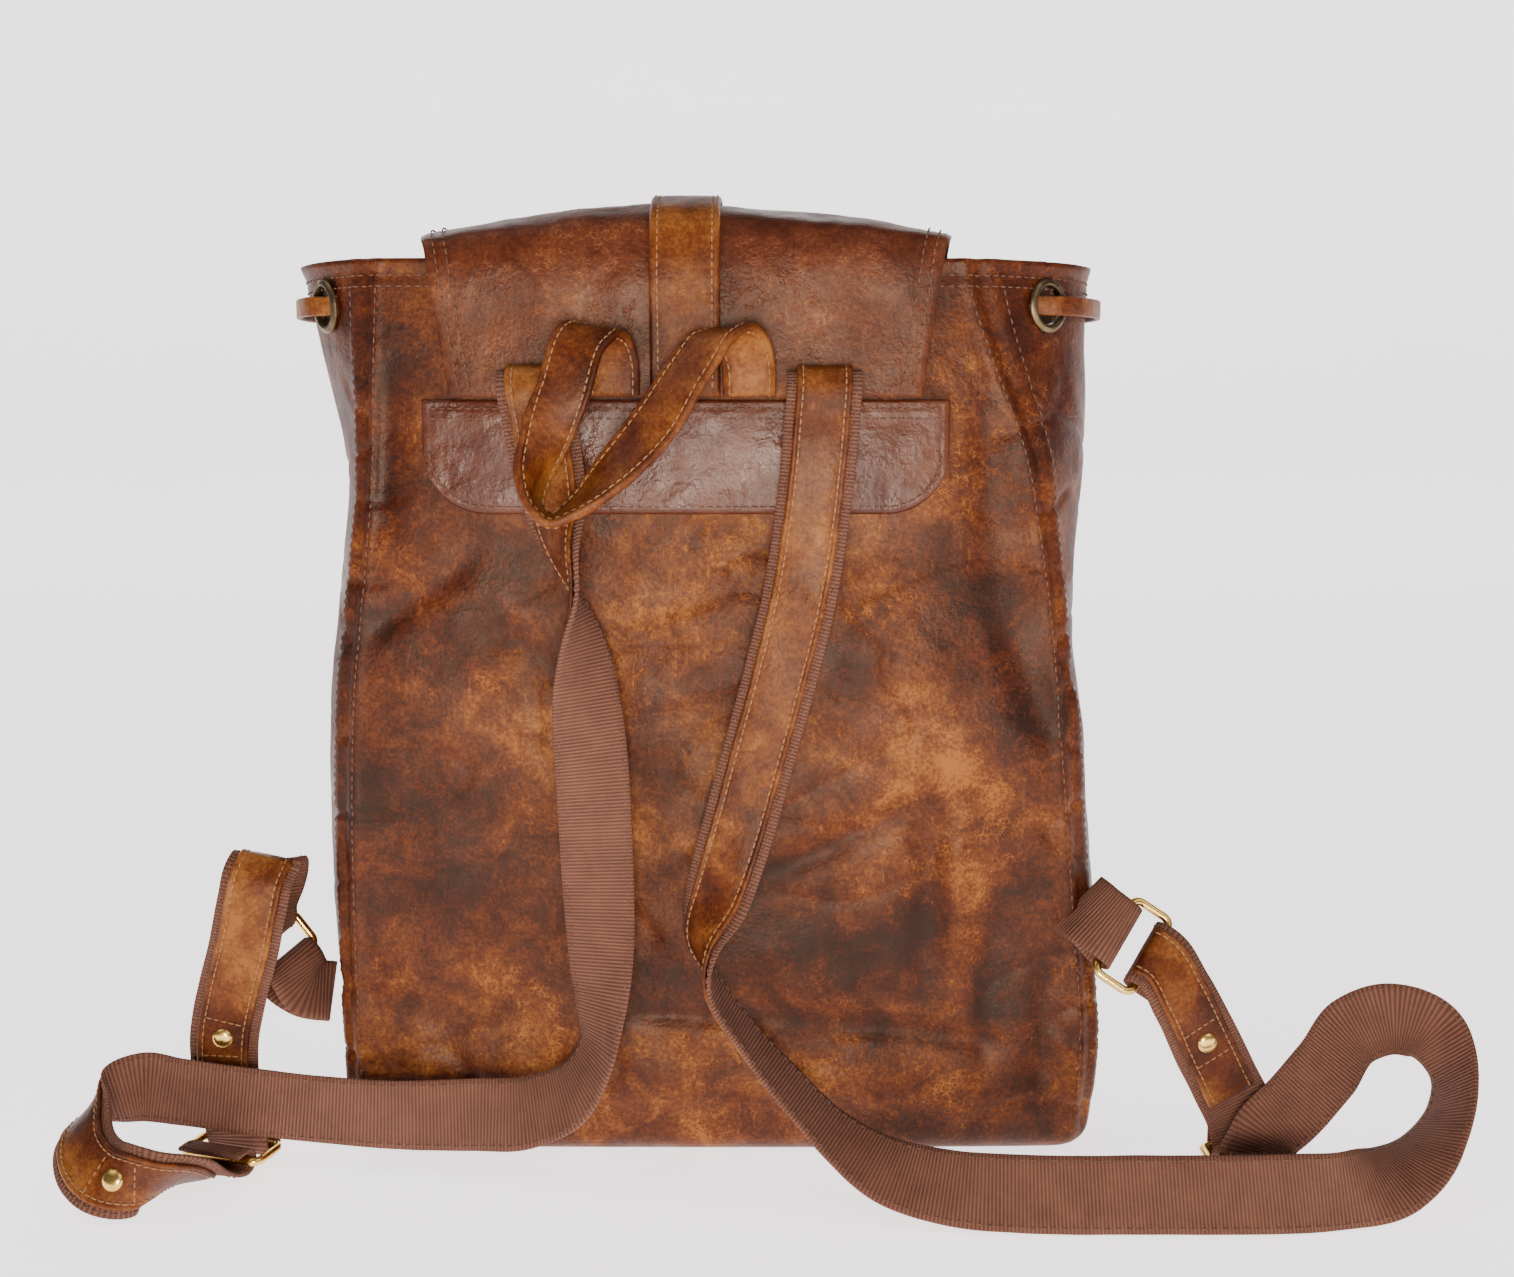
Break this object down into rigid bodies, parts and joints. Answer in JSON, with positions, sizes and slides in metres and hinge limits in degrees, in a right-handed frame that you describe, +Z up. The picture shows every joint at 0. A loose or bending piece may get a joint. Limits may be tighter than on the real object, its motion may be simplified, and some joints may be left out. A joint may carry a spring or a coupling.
{
  "type": "leather backpack",
  "caption": "Drawstring leather backpack with an over-mouth flap, glossy yoke, grab handle and webbing-backed shoulder straps on brass rings.",
  "frame": {"origin": "on the floor under the middle of the base", "axes": "+Z up; the wearer's side with the shoulder straps faces -Y; +X to the right seen from that side"},
  "size_m": [0.5932, 0.2308, 0.4121],
  "materials": {
    "body_leather": "waxed pull-up leather, mottled dark brown",
    "yoke_leather": "glossy, crackled brown",
    "flap_leather": "smooth brown",
    "strap_leather": "tan, raised stitched edges",
    "webbing": "ribbed brown webbing",
    "lining": "plain cotton",
    "board": "fibre board",
    "brass": "polished",
    "dull_brass": "antique"
  },
  "bodies": {
    "bag": {"back_panel": "body_leather", "front_panel": "body_leather", "left_gusset": "body_leather", "right_gusset": "body_leather", "base_panel": "body_leather", "yoke_patch": "yoke_leather", "flap_root": "flap_leather", "flap_strap_root": "strap_leather", "handle_left_end": "strap_leather", "handle_right_end": "strap_leather", "left_strap_leather": "strap_leather", "right_strap_leather": "strap_leather", "left_tab_leather": "strap_leather", "right_tab_leather": "strap_leather", "drawstring": "strap_leather", "drawstring_slider": "strap_leather", "left_strap_webbing": "webbing", "right_strap_webbing": "webbing", "left_tab_webbing": "webbing", "right_tab_webbing": "webbing", "left_anchor_loop": "webbing", "right_anchor_loop": "webbing", "lining": "lining", "base_board": "board", "left_tab_stud": "brass", "right_tab_stud": "brass", "left_strap_stud": "brass", "right_strap_stud": "brass", "eyelet_gusset_right": "dull_brass", "eyelet_front_right_outer": "dull_brass", "eyelet_front_right_inner": "dull_brass", "eyelet_front_left_inner": "dull_brass", "eyelet_front_left_outer": "dull_brass", "eyelet_gusset_left": "dull_brass", "snap_base": "dull_brass"},
    "flap": {"flap": "flap_leather", "flap_strap": "strap_leather", "snap_cap": "dull_brass"},
    "handle": {"handle": "strap_leather"},
    "left_anchor_ring": {"left_anchor_ring": "brass"},
    "right_anchor_ring": {"right_anchor_ring": "brass"},
    "left_slider_ring": {"left_slider_ring": "brass"},
    "right_slider_ring": {"right_slider_ring": "brass"}
  },
  "joints": [
    {"name": "flap_hinge", "type": "hinge", "parent": "bag", "child": "flap", "pos_m": [0, -0.0625, 0.3865], "axis": [1, 0, 0], "range_deg": [0, 105]},
    {"name": "handle_fold", "type": "hinge", "parent": "bag", "child": "handle", "pos_m": [0, -0.08, 0.3535], "axis": [1, 0, 0], "range_deg": [-95, 1]},
    {"name": "left_anchor_ring_turn", "type": "hinge", "parent": "bag", "child": "left_anchor_ring", "pos_m": [-0.1775, -0.0385, 0.08], "axis": [0.466, 0.8284, 0.3107], "range_deg": [-4, 4]},
    {"name": "right_anchor_ring_turn", "type": "hinge", "parent": "bag", "child": "right_anchor_ring", "pos_m": [0.18, -0.066, 0.104], "axis": [0.5527, 0.4623, 0.6934], "range_deg": [-4, 4]},
    {"name": "left_slider_ring_turn", "type": "hinge", "parent": "bag", "child": "left_slider_ring", "pos_m": [-0.2, -0.074, 0.008], "axis": [0.9536, -0.3011, 0], "range_deg": [-4, 4]},
    {"name": "right_slider_ring_turn", "type": "hinge", "parent": "bag", "child": "right_slider_ring", "pos_m": [0.24, -0.08, 0.0075], "axis": [1, 0, 0], "range_deg": [-4, 4]}
  ]
}
